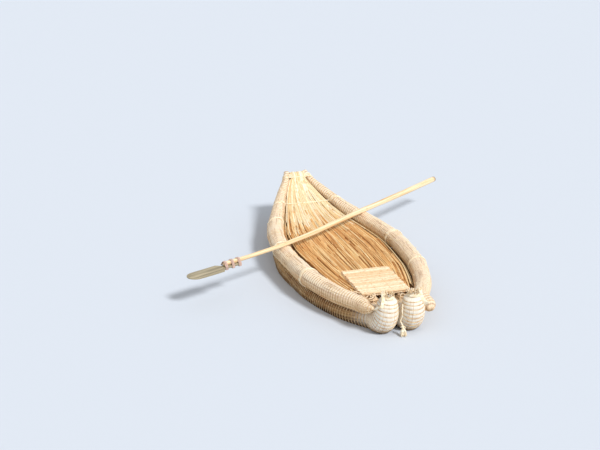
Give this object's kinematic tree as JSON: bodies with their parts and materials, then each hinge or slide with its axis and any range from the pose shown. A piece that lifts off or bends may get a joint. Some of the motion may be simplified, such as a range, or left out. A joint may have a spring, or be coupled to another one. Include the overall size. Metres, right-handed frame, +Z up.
{
  "type": "reed boat",
  "caption": "Small paddled boat of lashed reed bundles with raised bound bow, bent stern horns, reed floor and mat, and a pole paddle laid across its gunwales.",
  "frame": {"origin": "bottom centre of the bounding box: midway along the boat, on its centreline, on the ground the hull stands on", "axes": "+X to starboard, +Y to the bow, +Z up"},
  "size_m": [2.6547, 2.711, 0.6034],
  "materials": {
    "hull_reed": "dry weathered reed, dull",
    "roll_reed": "dry pale reed, dull",
    "floor_reed": "loose dry reed, dull",
    "mat_reed": "woven reed, dull",
    "cut_reed": "cut reed ends, dull",
    "reed_cord": "twisted grass cord, dull",
    "tie_cord": "pale twisted cord, dull",
    "pole_wood": "peeled pole, satin",
    "blade_wood": "weathered board, dull",
    "rag_lashing": "wrapped cloth strip, dull"
  },
  "bodies": {
    "root": {"main_bundle_port": "hull_reed", "main_lashing_port": "reed_cord", "gunwale_port": "roll_reed", "gunwale_lashing_port": "reed_cord", "gunwale_ties_port": "tie_cord", "horn_tuft_port": "cut_reed", "horn_collar_port": "reed_cord", "stern_strap_port": "tie_cord", "main_bundle_starboard": "hull_reed", "main_lashing_starboard": "reed_cord", "gunwale_starboard": "roll_reed", "gunwale_lashing_starboard": "reed_cord", "gunwale_ties_starboard": "tie_cord", "horn_tuft_starboard": "cut_reed", "horn_collar_starboard": "reed_cord", "stern_strap_starboard": "tie_cord", "bow_binding": "tie_cord", "floor_reeds": "floor_reed", "seat_mat": "mat_reed", "deck_cord": "tie_cord", "paddle_pole": "pole_wood", "paddle_blade": "blade_wood", "paddle_lashing": "rag_lashing"}
  },
  "joints": []
}
